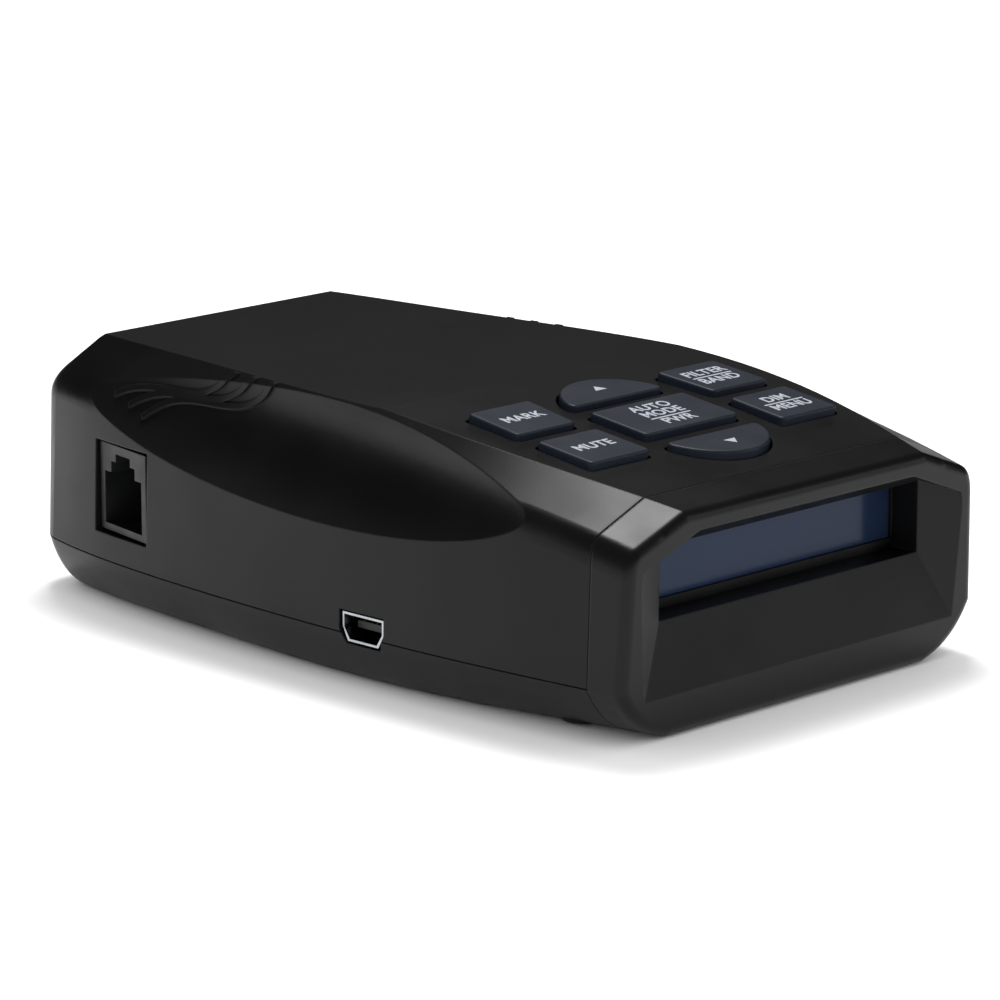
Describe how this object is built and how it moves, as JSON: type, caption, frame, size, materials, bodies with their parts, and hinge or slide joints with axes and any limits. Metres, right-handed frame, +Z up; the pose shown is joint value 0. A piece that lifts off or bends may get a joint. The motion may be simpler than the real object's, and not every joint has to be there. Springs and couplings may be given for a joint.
{
  "type": "radar detector",
  "caption": "Windshield radar detector: black drafted case with finger scoops, seven roof keys that press, recessed display behind a hooded bezel, side sockets and a horn antenna inside.",
  "frame": {"origin": "middle of the flat underside, at the centre of the body's footprint", "axes": "+Z up; +Y from the display end to the antenna end, along the long side; +X to the driver's right when facing the display"},
  "size_m": [0.0746, 0.121, 0.0365],
  "materials": {
    "case_black": "satin",
    "bezel_black": "satin",
    "key_navy": "satin",
    "lens_smoke": "polished",
    "mask_black": "gloss",
    "display_glass": "polished",
    "board_green": "solder mask",
    "chip_black": "moulded epoxy",
    "tinned_steel": "tin plated",
    "contact_gold": "gold flashed",
    "cast_zinc": "as cast",
    "screw_steel": "black zinc",
    "ceramic": "fired",
    "lens_clear": "polished",
    "window_black": "polished",
    "speaker_paper": "pressed",
    "mesh_cloth": "woven",
    "label_silver": "satin film",
    "jack_black": "moulded"
  },
  "bodies": {
    "housing": {"top_case": "case_black", "bottom_case": "case_black", "front_bezel": "bezel_black", "display_lens": "lens_smoke", "display_mask": "mask_black", "display_glass": "display_glass", "display_board": "board_green", "display_driver": "chip_black", "infrared_receiver": "chip_black", "key_board": "board_green", "key_switches": "tinned_steel", "main_board": "board_green", "usb_shell": "tinned_steel", "usb_tongue": "jack_black", "line_jack": "jack_black", "jack_contacts": "contact_gold", "blank_label": "label_silver", "case_screws": "screw_steel", "speaker": "tinned_steel", "speaker_cone": "speaker_paper", "speaker_mesh": "mesh_cloth", "horn_lower": "cast_zinc", "horn_upper": "cast_zinc", "horn_screws": "screw_steel", "mixer_board": "board_green", "mixer_can": "tinned_steel", "rear_window": "window_black", "laser_lens": "lens_clear", "laser_board": "board_green", "laser_photodiode": "chip_black", "gps_can": "tinned_steel", "gps_patch_antenna": "ceramic", "main_chips": "chip_black", "capacitors": "tinned_steel", "power_coil": "chip_black", "key_cable_socket": "label_silver"},
    "mark_key_body": {"mark_key": "key_navy"},
    "mute_key_body": {"mute_key": "key_navy"},
    "up_key_body": {"up_key": "key_navy"},
    "power_key_body": {"power_key": "key_navy"},
    "down_key_body": {"down_key": "key_navy"},
    "filter_key_body": {"filter_key": "key_navy"},
    "dim_key_body": {"dim_key": "key_navy"}
  },
  "joints": [
    {"name": "mark_key_press", "type": "slide", "parent": "housing", "child": "mark_key_body", "axis": [0, 0.1333, -0.9911], "range_m": [0, 0.0005], "stiffness_N_per_m": 600},
    {"name": "mute_key_press", "type": "slide", "parent": "housing", "child": "mute_key_body", "axis": [0, 0.1333, -0.9911], "range_m": [0, 0.0005], "stiffness_N_per_m": 600},
    {"name": "up_key_press", "type": "slide", "parent": "housing", "child": "up_key_body", "axis": [0, 0.1333, -0.9911], "range_m": [0, 0.0005], "stiffness_N_per_m": 600},
    {"name": "power_key_press", "type": "slide", "parent": "housing", "child": "power_key_body", "axis": [0, 0.1333, -0.9911], "range_m": [0, 0.0005], "stiffness_N_per_m": 600},
    {"name": "down_key_press", "type": "slide", "parent": "housing", "child": "down_key_body", "axis": [0, 0.1333, -0.9911], "range_m": [0, 0.0005], "stiffness_N_per_m": 600},
    {"name": "filter_key_press", "type": "slide", "parent": "housing", "child": "filter_key_body", "axis": [0, 0.1333, -0.9911], "range_m": [0, 0.0005], "stiffness_N_per_m": 600},
    {"name": "dim_key_press", "type": "slide", "parent": "housing", "child": "dim_key_body", "axis": [0, 0.1333, -0.9911], "range_m": [0, 0.0005], "stiffness_N_per_m": 600}
  ]
}
